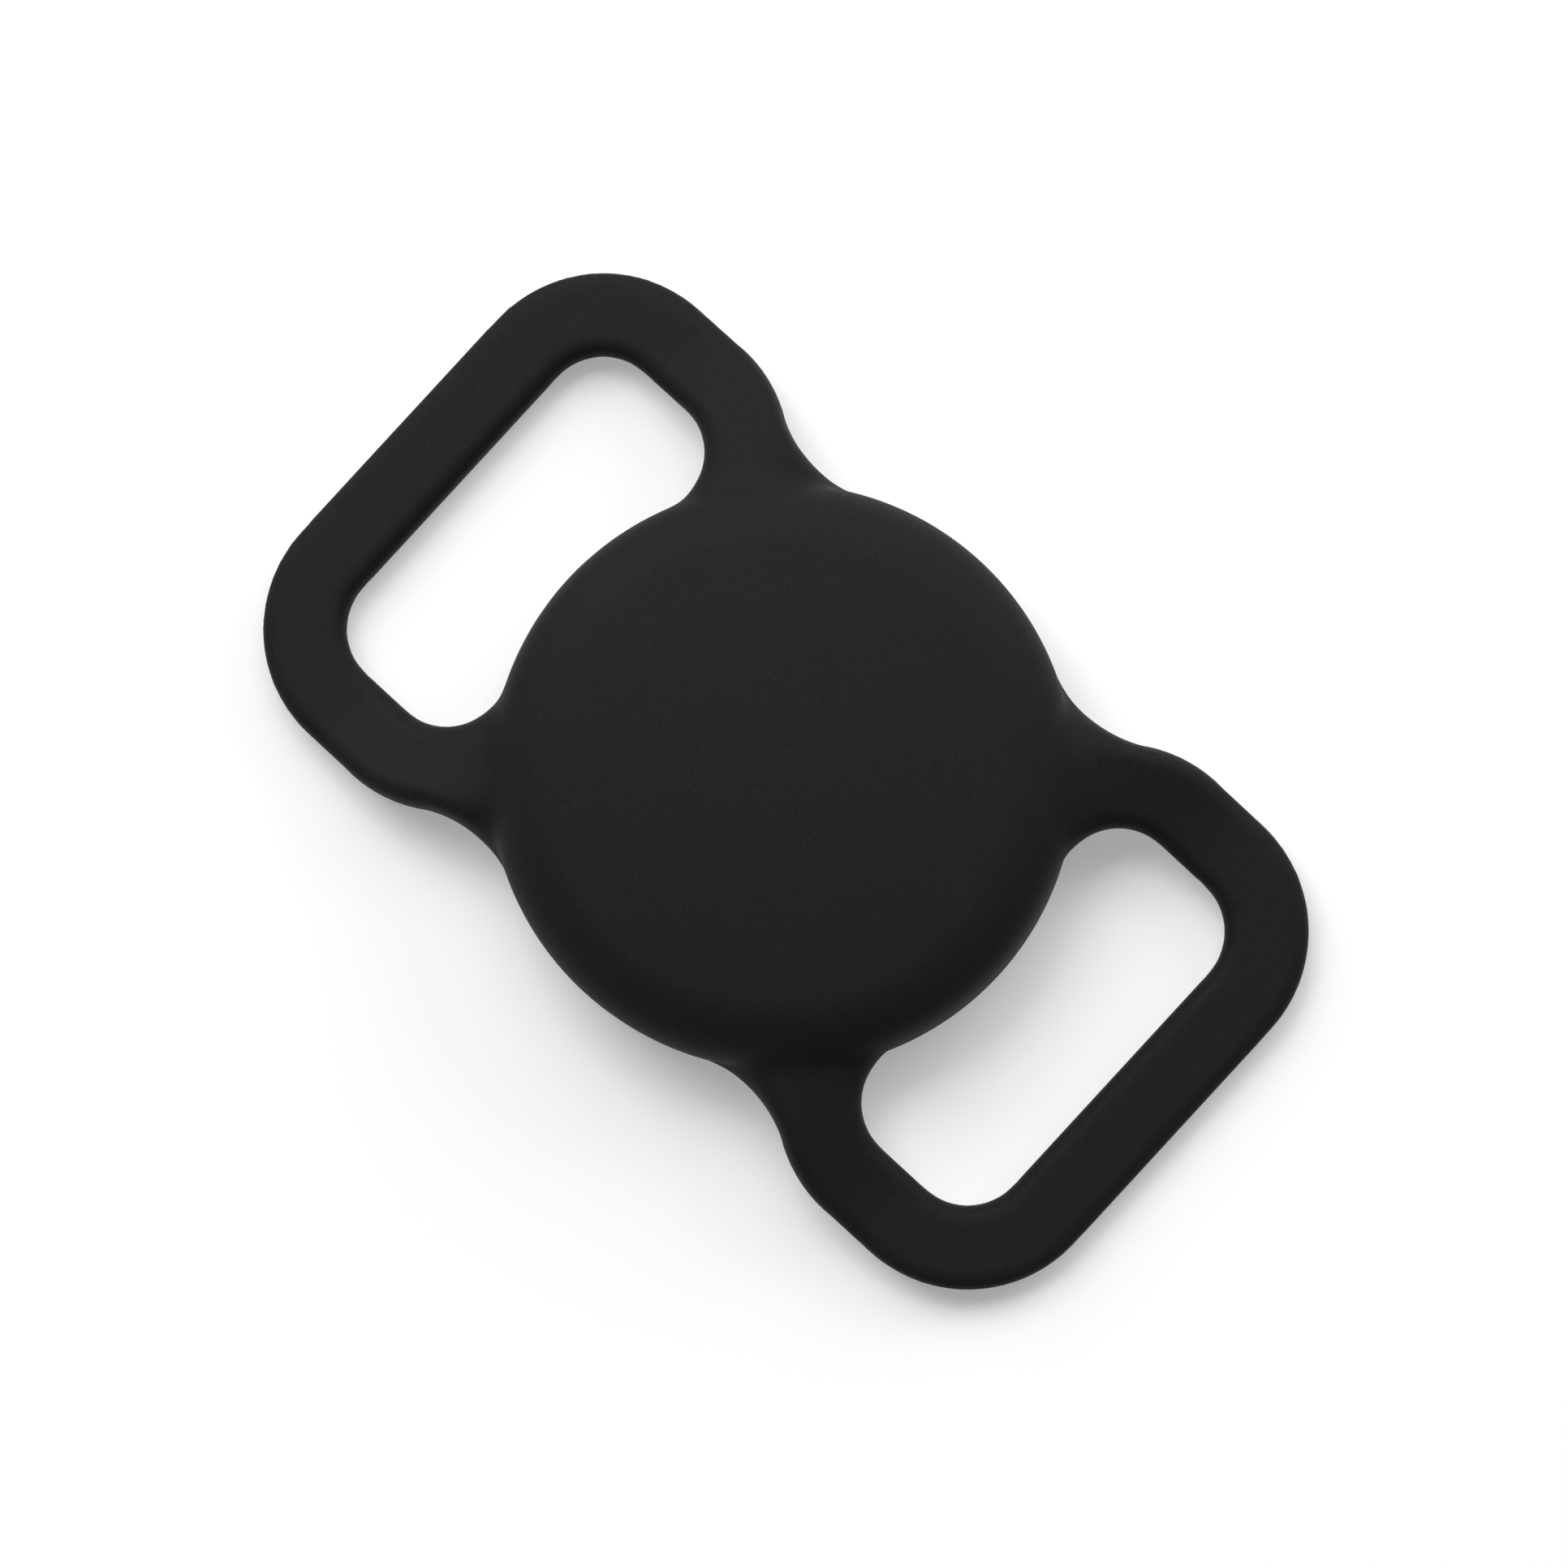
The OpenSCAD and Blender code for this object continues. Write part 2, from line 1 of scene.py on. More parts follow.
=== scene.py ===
# %% [markdown]
# # A silicone holder for a round tracker tag
#
# The holder is one soft moulding: a low dome with the tag pressed into it from behind, and a loop
# on each side for a collar or strap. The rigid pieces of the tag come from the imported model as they
# are. The sleeve is soft, so it is modelled here by hand, over the plain solid that stands for it.
# Everything is in metres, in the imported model's own frame: X runs through both loops and Z points
# out of the dome.

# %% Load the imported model
from math import acos, asin, atan2, cos, degrees, hypot, pi, radians, sin, sqrt

import bpy
from mathutils import Matrix, Vector


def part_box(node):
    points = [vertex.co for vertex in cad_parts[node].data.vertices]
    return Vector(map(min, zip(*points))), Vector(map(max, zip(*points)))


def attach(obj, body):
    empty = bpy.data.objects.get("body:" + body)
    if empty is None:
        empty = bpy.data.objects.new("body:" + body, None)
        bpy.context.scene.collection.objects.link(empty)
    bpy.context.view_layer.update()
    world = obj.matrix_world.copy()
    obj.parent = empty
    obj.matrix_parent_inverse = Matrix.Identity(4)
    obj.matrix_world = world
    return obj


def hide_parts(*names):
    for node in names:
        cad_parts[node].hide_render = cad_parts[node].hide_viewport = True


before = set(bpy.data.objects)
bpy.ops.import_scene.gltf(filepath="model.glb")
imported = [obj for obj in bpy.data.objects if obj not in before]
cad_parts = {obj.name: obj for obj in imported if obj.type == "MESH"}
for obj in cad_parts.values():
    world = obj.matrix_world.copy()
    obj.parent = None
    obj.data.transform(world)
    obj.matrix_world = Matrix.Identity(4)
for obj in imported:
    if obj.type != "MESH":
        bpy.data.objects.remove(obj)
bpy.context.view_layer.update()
MM = 0.001
print("nodes:", ", ".join(sorted(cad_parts)))

# %% [markdown]
# ## The camera
#
# The holder lies on a white table and is seen almost straight from above, from about 65 cm. The
# camera leans 4.5 degrees towards the +X loop, so that loop looks a little larger, and it is rolled
# until +X points to the lower right. A camera is easiest to place from three directions: its right,
# its up and the way back from the subject. Its lens then follows from how many millimetres the
# square picture is wide at the subject's distance.

# %% Place the camera
LEAN_X, LEAN_Y = radians(4.54), radians(-0.82)
ROLL = radians(42.57)
DISTANCE = 0.646
PICTURE_W = 96.55 * MM
SENSOR_W = 36
AIM = Vector((0.36, -0.25, 4)) * MM

back = Vector((sin(LEAN_X), sin(LEAN_Y), cos(LEAN_X) * cos(LEAN_Y))).normalized()
across = back.cross(Vector((1, 0, 0))).normalized()
along = across.cross(back)
right = along * cos(ROLL) + across * sin(ROLL)
up = across * cos(ROLL) - along * sin(ROLL)

bpy.ops.object.camera_add()
camera = bpy.context.object
camera.name = "camera"
turn = Matrix((right, up, back)).transposed().to_4x4()
camera.matrix_world = Matrix.Translation(AIM + back * DISTANCE) @ turn
camera.data.sensor_width = SENSOR_W
camera.data.lens = SENSOR_W * DISTANCE / PICTURE_W
camera.data.clip_start = 0.01
bpy.context.scene.camera = camera
bpy.context.scene.view_settings.view_transform = "Standard"
print("lens %.1f mm at %.0f mm" % (camera.data.lens, DISTANCE / MM))

# %% [markdown]
# ## Colours and nodes
#
# Colours are written as sRGB hex values, the way they are picked from a picture. Shaders work in
# linear light, so one function turns them. A second small helper adds any node with its settings
# and its links, which keeps every material below short enough to read in one go.

# %% One function for colours, one for nodes
def colour(code):
    parts = [int(code[i:i + 2], 16) / 255 for i in (1, 3, 5)]
    return [p / 12.92 if p <= 0.04045 else ((p + 0.055) / 1.055) ** 2.4 for p in parts] + [1]


def add(tree, kind, inputs=None, **settings):
    """Adds a node. Inputs are {name or number: a socket to link, or a value}; settings set the rest."""
    node = tree.nodes.new(kind)
    for name, value in settings.items():
        if hasattr(node, name) and name not in node.inputs:
            setattr(node, name, value)
        else:
            node.inputs[name.replace("_", " ")].default_value = value
    for name, value in (inputs or {}).items():
        if isinstance(value, bpy.types.NodeSocket):
            tree.links.new(value, node.inputs[name])
        else:
            node.inputs[name].default_value = value
    return node


def new_material(name):
    """A material with an empty tree, and the object's own coordinates in millimetres."""
    material = bpy.data.materials.new(name)
    material.use_nodes = True
    tree = material.node_tree
    tree.nodes.clear()
    place = add(tree, "ShaderNodeTexCoord")
    in_mm = add(tree, "ShaderNodeVectorMath", {0: place.outputs["Object"]}, operation="SCALE", Scale=1000)
    return material, tree, in_mm.outputs[0]


def finish_material(tree, shader):
    out = add(tree, "ShaderNodeOutputMaterial")
    tree.links.new(shader.outputs[0], out.inputs["Surface"])


# %% [markdown]
# ## Table, light and background
#
# The photograph is a plain studio shot on white. Most of its light is one broad window on the upper
# left, and pale walls round the upper half of the room send some of it back from the sides. So a
# soft shadow falls towards the bottom of the picture, and the dome's shoulder on that side, which
# faces the dark end of the room, is the darkest place. Six lamps, each half a metre square and
# 0.9 m away, repeat that room, and a faint world fills in. The table is pale grey and matt. Seen
# directly, or mirrored in metal or gloss, it is lifted to the photograph's white and the room is
# white, while neither lights the object more. Further out, where the lamps hardly reach, it is
# lifted more, so that it stays white in low views too. Near the object it keeps a light shadow.

# %% Table and world
def rays_that_see(tree):
    """1 for the camera's rays and for mirrored and transmitted ones, 0 for rays that carry light."""
    rays = add(tree, "ShaderNodeLightPath")
    either = add(tree, "ShaderNodeMath",
                 {0: rays.outputs["Is Camera Ray"], 1: rays.outputs["Is Glossy Ray"]},
                 operation="MAXIMUM")
    any_of = add(tree, "ShaderNodeMath", {0: either.outputs[0], 1: rays.outputs["Is Transmission Ray"]},
                 operation="MAXIMUM")
    return any_of.outputs[0]


TABLE_W = 4
# What the table gives of its own to rays that see it, near the object and far out.
TABLE_LIFT, FAR_LIFT = 0.33, 1
LIFT_FROM_MM, LIFT_TO_MM = 100, 500
ROOM_LIGHT, ROOM_SEEN = 0.04, 1

bpy.ops.mesh.primitive_plane_add(size=TABLE_W)
table = bpy.context.object
table.name = "table"

material, tree, mm = new_material("white painted table")
seen_rays = rays_that_see(tree)
matt = add(tree, "ShaderNodeBsdfDiffuse", Color=colour("#d4d4d4"))
out_from_middle = add(tree, "ShaderNodeVectorMath", {0: mm}, operation="LENGTH")
lift = add(tree, "ShaderNodeMapRange", {"Value": out_from_middle.outputs["Value"]},
           From_Min=LIFT_FROM_MM, From_Max=LIFT_TO_MM, To_Min=TABLE_LIFT, To_Max=FAR_LIFT)
glow = add(tree, "ShaderNodeEmission", {"Strength": lift.outputs["Result"]}, Color=(1, 1, 1, 1))
both = add(tree, "ShaderNodeAddShader", {0: matt.outputs[0], 1: glow.outputs[0]})
seen = add(tree, "ShaderNodeMixShader", {0: seen_rays, 1: matt.outputs[0], 2: both.outputs[0]})
finish_material(tree, seen)
table.data.materials.append(material)

world = bpy.data.worlds.new("white room")
bpy.context.scene.world = world
world.use_nodes = True
tree = world.node_tree
tree.nodes.clear()
room = add(tree, "ShaderNodeBackground", Color=(1, 1, 1, 1), Strength=ROOM_LIGHT)
white = add(tree, "ShaderNodeBackground", Color=(1, 1, 1, 1), Strength=ROOM_SEEN)
seen = add(tree, "ShaderNodeMixShader",
           {0: rays_that_see(tree), 1: room.outputs[0], 2: white.outputs[0]})
out = add(tree, "ShaderNodeOutputWorld")
tree.links.new(seen.outputs[0], out.inputs["Surface"])

# %% Lamps
LAMP_AWAY, LAMP_SIZE = 0.9, 0.5
picture_up = Vector((-sin(ROLL), cos(ROLL), 0))
picture_right = Vector((cos(ROLL), sin(ROLL), 0))


def soft_box(name, side, lean, watts):
    """A square lamp. Side is where it stands in the picture, in degrees from the right-hand side
    and up, and lean is how far it is from straight overhead."""
    side, lean = radians(side), radians(lean)
    away = (picture_up * sin(side) + picture_right * cos(side)) * sin(lean) + Vector((0, 0, cos(lean)))
    bpy.ops.object.light_add(type="AREA", location=away * LAMP_AWAY)
    lamp = bpy.context.object
    lamp.name = name
    lamp.data.shape = "SQUARE"
    lamp.data.size = LAMP_SIZE
    lamp.data.energy = watts
    lamp.rotation_euler = away.to_track_quat("Z", "Y").to_euler()


soft_box("window", 122, 35, 4.8)
soft_box("window top", 75, 35, 2.6)
soft_box("left wall", 135, 65, 2.7)
soft_box("top wall", 90, 65, 0.9)
soft_box("right wall", 40, 65, 3.5)
soft_box("ceiling", 0, 0, 0.4)

# %% [markdown]
# ## The sleeve: one soft moulding
#
# A real sleeve is a single piece of silicone, so its dome, lip and loops flow into each other. The
# way here is the one a modeller takes by hand: spin the dome's section round its axis, draw one
# loop as a flat outline, give it its thickness and round its edges, copy it to the other side, and
# then let a voxel remesh melt the three together. The sizes below repeat those of the solid that
# the sleeve replaces. Only the flare of the arms, explained further down, is new here.

# %% Sizes of the sleeve, in millimetres
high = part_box("holder_sleeve")[1]
DOME_R, DOME_TOP = 18.0, high.z / MM
CROWN_R, SHOULDER_R, BACK_R = 98.0, 4.6, 2.4
POCKET_R, POCKET_BACK = 16.1, 1.55
POCKET_TOP = DOME_TOP - 1.4
POCKET_CROWN_R, POCKET_SHOULDER_R, POCKET_BACK_R = 96.6, 3.5, 3.3
MOUTH_R, MOUTH_ROUND = 13.0, 0.4
BAND_W, BAND_T, EDGE_R = 5.15, 2.6, 1.0
SLOT_IN, SLOT_L, SLOT_W, SLOT_R = 16.0, 11.4, 25.4, 3.8
WAIST_R, WAIST_TUCK = 8.0, 0.08
ROOT_R, ROOT_IN = 16.5, 7.4
SLOPE = radians(5)
# The flare's height, where it is full and where it starts, and the same two in degrees round the
# dome's side.
FLARE, FLARE_IN, FLARE_OUT = 2.5, 11.5, 23.5
FLARE_SIDE, FLARE_TIP, FLARE_CUTS = 49, 60, 12
LOOP_END = SLOT_IN + SLOT_L + BAND_W
print("loop ends at %.2f mm, box says %.2f mm" % (LOOP_END * cos(SLOPE), high.x / MM))


# %% Helpers that work as the hand does
def nothing_selected():
    if bpy.context.mode != "OBJECT":
        bpy.ops.object.mode_set(mode="OBJECT")
    bpy.ops.object.select_all(action="DESELECT")


def arc(centre, radius, start, end, steps):
    """Points on an arc, from one angle to another, in degrees."""
    angles = [radians(start + (end - start) * i / steps) for i in range(steps + 1)]
    return [(centre[0] + radius * cos(a), centre[1] + radius * sin(a)) for a in angles]


def draw(name, points):
    """Draws a chain of edges: one vertex, extruded from point to point. Points are Vectors in metres."""
    nothing_selected()
    bpy.ops.mesh.primitive_plane_add(size=MM, location=points[0])
    piece = bpy.context.object
    piece.name = name
    bpy.ops.object.transform_apply(location=True, rotation=False, scale=False)
    bpy.ops.object.mode_set(mode="EDIT")
    bpy.ops.mesh.merge(type="CENTER")
    for a, b in zip(points, points[1:]):
        bpy.ops.mesh.extrude_region_move(TRANSFORM_OT_translate={"value": b - a})
    bpy.ops.mesh.select_all(action="SELECT")
    return piece


def selected(piece, test):
    """Selects the edges of a piece whose two ends pass a test, and nothing else."""
    bpy.ops.object.mode_set(mode="OBJECT")
    mesh = piece.data
    for part in (mesh.vertices, mesh.edges, mesh.polygons):
        part.foreach_set("select", [False] * len(part))
    chosen = [e for e in mesh.edges if test(*(mesh.vertices[v].co / MM for v in e.vertices))]
    for e in chosen:
        e.select = True
    bpy.ops.object.mode_set(mode="EDIT")
    return len(chosen)


# %% [markdown]
# ### The dome's section
#
# The section is drawn in the XZ plane from the middle of the front, round the outside, under the
# lip and back through the pocket. Two arcs that touch without a kink share a line through both
# centres: that gives the height of the shoulder's centre under the large arc of the crown.

# %% Draw the section and spin it
def shoulder_height(r, top, crown, shoulder):
    """Height of the centre of the shoulder's arc."""
    return top - crown + sqrt((crown - shoulder) ** 2 - (r - shoulder) ** 2)


def crown_and_shoulder(r, top, crown, shoulder, steps):
    """Front of a pebble from its middle to its side, as points (radius, height)."""
    z = shoulder_height(r, top, crown, shoulder)
    lean = degrees(atan2(z - (top - crown), r - shoulder))
    return arc((0, top - crown), crown, 90, lean, steps) + arc((r - shoulder, z), shoulder, lean, 0, 40)


section = crown_and_shoulder(DOME_R, DOME_TOP, CROWN_R, SHOULDER_R, 24)
section += arc((DOME_R - BACK_R, BACK_R), BACK_R, 0, -90, 20)
section += arc((MOUTH_R + MOUTH_ROUND, MOUTH_ROUND), MOUTH_ROUND, -90, -180, 4)
inner_at = (POCKET_R - POCKET_BACK_R, POCKET_BACK + POCKET_BACK_R)
start = -degrees(acos((MOUTH_R - inner_at[0]) / POCKET_BACK_R))
section += arc(inner_at, POCKET_BACK_R, start, 0, 10)
section += crown_and_shoulder(POCKET_R, POCKET_TOP, POCKET_CROWN_R, POCKET_SHOULDER_R, 20)[::-1]
section[0] = (0, section[0][1])
section[-1] = (0, section[-1][1])

SPIN_STEPS, WELD = 360, 0.004
dome = draw("sleeve", [Vector((x, 0, z)) * MM for x, z in section])
bpy.ops.mesh.spin(steps=SPIN_STEPS, angle=2 * pi, center=(0, 0, 0), axis=(0, 0, 1))
bpy.ops.mesh.select_all(action="SELECT")
bpy.ops.mesh.remove_doubles(threshold=WELD * MM)
bpy.ops.mesh.normals_make_consistent(inside=False)
bpy.ops.object.mode_set(mode="OBJECT")
print("dome: %d faces" % len(dome.data.polygons))

# %% [markdown]
# ### One loop
#
# Seen from above, a loop is a band of one width round the strap's slot. Towards the dome it widens
# into two arms, and a hollow of 8 mm radius leads each arm into the dome. The outline starts and
# ends inside the dome's wall, where nobody sees it.

# %% Draw the outline of a loop
corner = (SLOT_IN + SLOT_R, SLOT_W / 2 - SLOT_R)
far = (SLOT_IN + SLOT_L - SLOT_R, SLOT_W / 2 - SLOT_R)
dome_reach = DOME_R - WAIST_TUCK + WAIST_R
corner_reach = SLOT_R + BAND_W + WAIST_R
span = hypot(*corner)
part_along = (dome_reach ** 2 - corner_reach ** 2 + span ** 2) / (2 * span)
part_across = sqrt(dome_reach ** 2 - part_along ** 2)
waist = ((corner[0] * part_along - corner[1] * part_across) / span,
         (corner[1] * part_along + corner[0] * part_across) / span)
waist_angle = degrees(atan2(waist[1], waist[0]))
to_corner = degrees(atan2(corner[1] - waist[1], corner[0] - waist[0]))
root_angle = degrees(asin(ROOT_IN / ROOT_R))

half = arc((0, 0), ROOT_R, root_angle, waist_angle, 10)
half += arc(waist, WAIST_R, waist_angle - 180, to_corner, 24)
half += arc(corner, SLOT_R + BAND_W, to_corner + 180, 90, 16)[1:]
half += arc(far, SLOT_R + BAND_W, 90, 0, 24)
inside = arc(far, SLOT_R, 0, 90, 16) + arc(corner, SLOT_R, 90, 180, 16)
outline = half + [(x, -y) for x, y in half[::-1]]
outline += [(x, -y) for x, y in inside[::-1]] + inside
print("waist centre %.2f, %.2f mm; %d points" % (waist[0], waist[1], len(outline)))

# %% [markdown]
# The outline is filled, pulled up to the band's thickness, and its two rims are bevelled to the
# 1 mm rounding that shades softly in the photograph. Near the dome the front of each arm flares up
# to the dome's shoulder, so the shading runs from one into the other with no dark gutter between
# them. The underside stays flat. The loops slope 5 degrees down from the dome, so the far bar
# touches the table. The other loop is the same one turned half a turn.

# %% Thickness and rounded rims
loop = draw("loop_a", [Vector((x, y, 0)) * MM for x, y in outline])
bpy.ops.mesh.edge_face_add()
bpy.ops.mesh.extrude_region_move(TRANSFORM_OT_translate={"value": (0, 0, BAND_T * MM)})
bpy.ops.mesh.select_all(action="SELECT")
bpy.ops.mesh.normals_make_consistent(inside=False)
RIM_STEPS, LEVEL = 8, 0.01
rims = selected(loop, lambda a, b: abs(a.z - b.z) < LEVEL)
bpy.ops.mesh.bevel(offset=EDGE_R * MM, segments=RIM_STEPS, profile=0.5, affect="EDGES",
                   clamp_overlap=False)
bpy.ops.object.mode_set(mode="OBJECT")
print("%d rim edges rounded, %d faces" % (rims, len(loop.data.polygons)))


# %% Flare and slope
def ease(value, zero, one):
    """A soft S from 0 to 1 as value goes from zero to one."""
    t = max(0, min(1, (value - zero) / (one - zero)))
    return t * t * (3 - 2 * t)


def flare(x, y):
    """How far the front of an arm has risen, in mm. It rises from the loop to the dome, and dies
    away again round the side, where the arm's tip runs out along the dome."""
    round_the_side = degrees(atan2(abs(y), abs(x)))
    return FLARE * ease(abs(x), FLARE_OUT, FLARE_IN) * ease(round_the_side, FLARE_TIP, FLARE_SIDE)


nothing_selected()
loop.select_set(True)
bpy.context.view_layer.objects.active = loop
bpy.ops.object.mode_set(mode="EDIT")
bpy.ops.mesh.select_all(action="SELECT")
for i in range(FLARE_CUTS):
    bpy.ops.mesh.bisect(plane_co=((FLARE_IN + i) * MM, 0, 0), plane_no=(1, 0, 0))
    bpy.ops.mesh.select_all(action="SELECT")
bpy.ops.object.mode_set(mode="OBJECT")
for v in loop.data.vertices:
    v.co.z *= 1 + flare(v.co.x / MM, v.co.y / MM) / BAND_T

loop_lift = EDGE_R + (LOOP_END - EDGE_R) * sin(SLOPE) - EDGE_R * cos(SLOPE)
loop.matrix_world = Matrix.Translation((0, 0, loop_lift * MM)) @ Matrix.Rotation(SLOPE, 4, "Y")
bpy.ops.object.transform_apply(location=True, rotation=True, scale=True)
bpy.ops.object.duplicate()
other = bpy.context.object
other.name = "loop_b"
other.matrix_world = Matrix.Rotation(pi, 4, "Z")
bpy.ops.object.transform_apply(location=True, rotation=True, scale=True)

# %% [markdown]
# ### Melting the three pieces into one
#
# A voxel remesh rebuilds the joined pieces as one even skin. Voxels of 0.28 mm are fine enough for
# the thin lip and the rounded rims, but they leave faint steps on gentle slopes. So the skin is
# shrink-wrapped back onto a copy of the drawn pieces, which puts every point exactly on them. Then
# many small passes of smoothing, only along the crease between dome and arms, give the soft inner
# corner of a moulding.

# %% Join, remesh and wrap
nothing_selected()
for part in (dome, loop, other):
    part.select_set(True)
bpy.context.view_layer.objects.active = dome
bpy.ops.object.join()
bpy.ops.object.duplicate()
drawn = bpy.context.object
nothing_selected()
dome.select_set(True)
bpy.context.view_layer.objects.active = dome
sleeve = dome
VOXEL = 0.28
EVEN_PASSES = 4
melt = sleeve.modifiers.new("melt", "REMESH")
melt.mode = "VOXEL"
melt.voxel_size = VOXEL * MM
bpy.ops.object.modifier_apply(modifier="melt")
even = sleeve.modifiers.new("even", "SMOOTH")
even.factor = 0.5
even.iterations = EVEN_PASSES
bpy.ops.object.modifier_apply(modifier="even")
wrap = sleeve.modifiers.new("wrap", "SHRINKWRAP")
wrap.target = drawn
wrap.wrap_method = "NEAREST_SURFACEPOINT"
bpy.ops.object.modifier_apply(modifier="wrap")
print("wrapped %d faces" % len(sleeve.data.polygons))


# %% Soften the crease
# How far from the crease the smoothing is full, where it ends, and how deep under the arm's top.
CREASE_IN, CREASE_OUT, CREASE_BELOW = 1.2, 3.4, 2.5
CREASE_PASSES = 75
ARMS_FROM, ARMS_FADE = 9, 2
shoulder_z = shoulder_height(DOME_R, DOME_TOP, CROWN_R, SHOULDER_R)


def crease_weight(co):
    """1 in the crease between the dome and an arm, fading to 0 at CREASE_OUT from it."""
    top = loop_lift - abs(co.x) * sin(SLOPE) + BAND_T + flare(co.x, co.y)
    above = max(0, top - shoulder_z)
    wall = DOME_R - SHOULDER_R + sqrt(SHOULDER_R ** 2 - above ** 2)
    away = hypot(hypot(co.x, co.y) - wall, co.z - top)
    arms = min(1, max(0, (abs(co.x) - ARMS_FROM) / ARMS_FADE))
    upper = min(1, max(0, co.z - top + CREASE_BELOW))
    return arms * upper * max(0, min(1, (CREASE_OUT - away) / (CREASE_OUT - CREASE_IN)))


group = sleeve.vertex_groups.new(name="crease")
for v in sleeve.data.vertices:
    w = crease_weight(v.co / MM)
    if w > 0:
        group.add([v.index], w, "REPLACE")
soft = sleeve.modifiers.new("soft crease", "SMOOTH")
soft.factor = 0.5
soft.iterations = CREASE_PASSES
soft.vertex_group = "crease"
bpy.ops.object.modifier_apply(modifier="soft crease")
sleeve.vertex_groups.clear()
nothing_selected()
drawn.select_set(True)
bpy.ops.object.delete()
sleeve.select_set(True)
bpy.context.view_layer.objects.active = sleeve
bpy.ops.object.shade_smooth()
bpy.ops.object.mode_set(mode="EDIT")
bpy.ops.mesh.select_all(action="SELECT")
bpy.ops.mesh.normals_make_consistent(inside=False)
bpy.ops.object.mode_set(mode="OBJECT")
sleeve.name = sleeve.data.name = "silicone_sleeve"
print("sleeve: %d faces" % len(sleeve.data.polygons))

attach(sleeve, "holder")
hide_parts("holder_sleeve")

# %% [markdown]
# ### Matt black silicone
#
# Silicone rubber, moulded in a blasted tool, has a fine matt skin. Its IOR is 1.41, and a smooth
# skin would mirror 3 percent of the light. The blasted one swallows most of that, so the specular
# level is turned down to 0.075, and only a trace of sheen shows at grazing angles. Two things keep
# it from looking like flat paint: a grain of about 0.15 mm, drawn a little coarser than the real
# one so that it shows, and slow, faint changes of roughness from handling.

# %% Silicone
material, tree, mm = new_material("moulded black silicone")
grain = add(tree, "ShaderNodeTexNoise", {"Vector": mm}, Scale=6.5, Detail=3.0, Roughness=0.6)
cloud = add(tree, "ShaderNodeTexNoise", {"Vector": mm}, Scale=0.18, Detail=2.0)
tone = add(tree, "ShaderNodeMix", {0: grain.outputs["Fac"]}, data_type="RGBA", A=colour("#0d0d0d"),
           B=colour("#222223"))
rough = add(tree, "ShaderNodeMapRange", {"Value": cloud.outputs["Fac"]}, To_Min=0.56, To_Max=0.64)
bump = add(tree, "ShaderNodeBump", {"Height": grain.outputs["Fac"]}, Strength=0.5, Distance=0.00003)
skin = add(tree, "ShaderNodeBsdfPrincipled", {"Base Color": tone.outputs["Result"],
                                              "Roughness": rough.outputs["Result"],
                                              "Normal": bump.outputs["Normal"]}, IOR=1.41)
skin.inputs["Specular IOR Level"].default_value = 0.075
skin.inputs["Sheen Weight"].default_value = 0.01
skin.inputs["Sheen Roughness"].default_value = 0.4
finish_material(tree, skin)
sleeve.data.materials.clear()
sleeve.data.materials.append(material)

# %% [markdown]
# ## The tag's own finishes
#
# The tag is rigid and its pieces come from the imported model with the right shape, so only their
# surfaces are finished here. A CAD node is dressed by changing its material slots, and its mesh is
# left alone. All patterns are drawn in the object's own coordinates in millimetres, so a scale is
# simply one over the size of a grain or a scratch.

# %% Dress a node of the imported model
def dress(material, *nodes):
    """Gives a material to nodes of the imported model."""
    for name in nodes:
        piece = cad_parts[name]
        if not piece.material_slots:
            piece.data.materials.append(None)
        for place in piece.material_slots:
            place.material = material


# %% [markdown]
# ### Moulded plastics and rubbers
#
# The front shell is gloss polycarbonate, white right through: IOR 1.58, a low roughness that varies
# where it was handled, and the faint waviness that every injection moulding has. The frame and the
# cover's liner are matt ABS and acetal from an eroded tool, with a grain of about 0.15 mm. The
# cell's gasket is dark polypropylene, the pads are grey silicone and the seal is closed foam. They
# differ in numbers and not in kind, so one function makes them.

# %% Finishes out of a tool
def moulded(name, tones, rough, ior, grain_mm, relief_um):
    """Two close tones in slow clouds, and a fine even grain in the roughness and the surface."""
    material, tree, mm = new_material(name)
    clouds = add(tree, "ShaderNodeTexNoise", {"Vector": mm}, Scale=0.35, Detail=3.0)
    grain = add(tree, "ShaderNodeTexNoise", {"Vector": mm}, Scale=1 / grain_mm, Detail=2.0)
    tone = add(tree, "ShaderNodeMix", {0: clouds.outputs["Fac"]}, data_type="RGBA",
               A=colour(tones[0]), B=colour(tones[1]))
    matt = add(tree, "ShaderNodeMapRange", {"Value": grain.outputs["Fac"]},
               To_Min=rough[0], To_Max=rough[1])
    bump = add(tree, "ShaderNodeBump", {"Height": grain.outputs["Fac"]},
               Strength=0.3, Distance=relief_um * 1e-6)
    skin = add(tree, "ShaderNodeBsdfPrincipled",
               {"Base Color": tone.outputs["Result"], "Roughness": matt.outputs["Result"],
                "Normal": bump.outputs["Normal"]}, IOR=ior)
    finish_material(tree, skin)
    return material


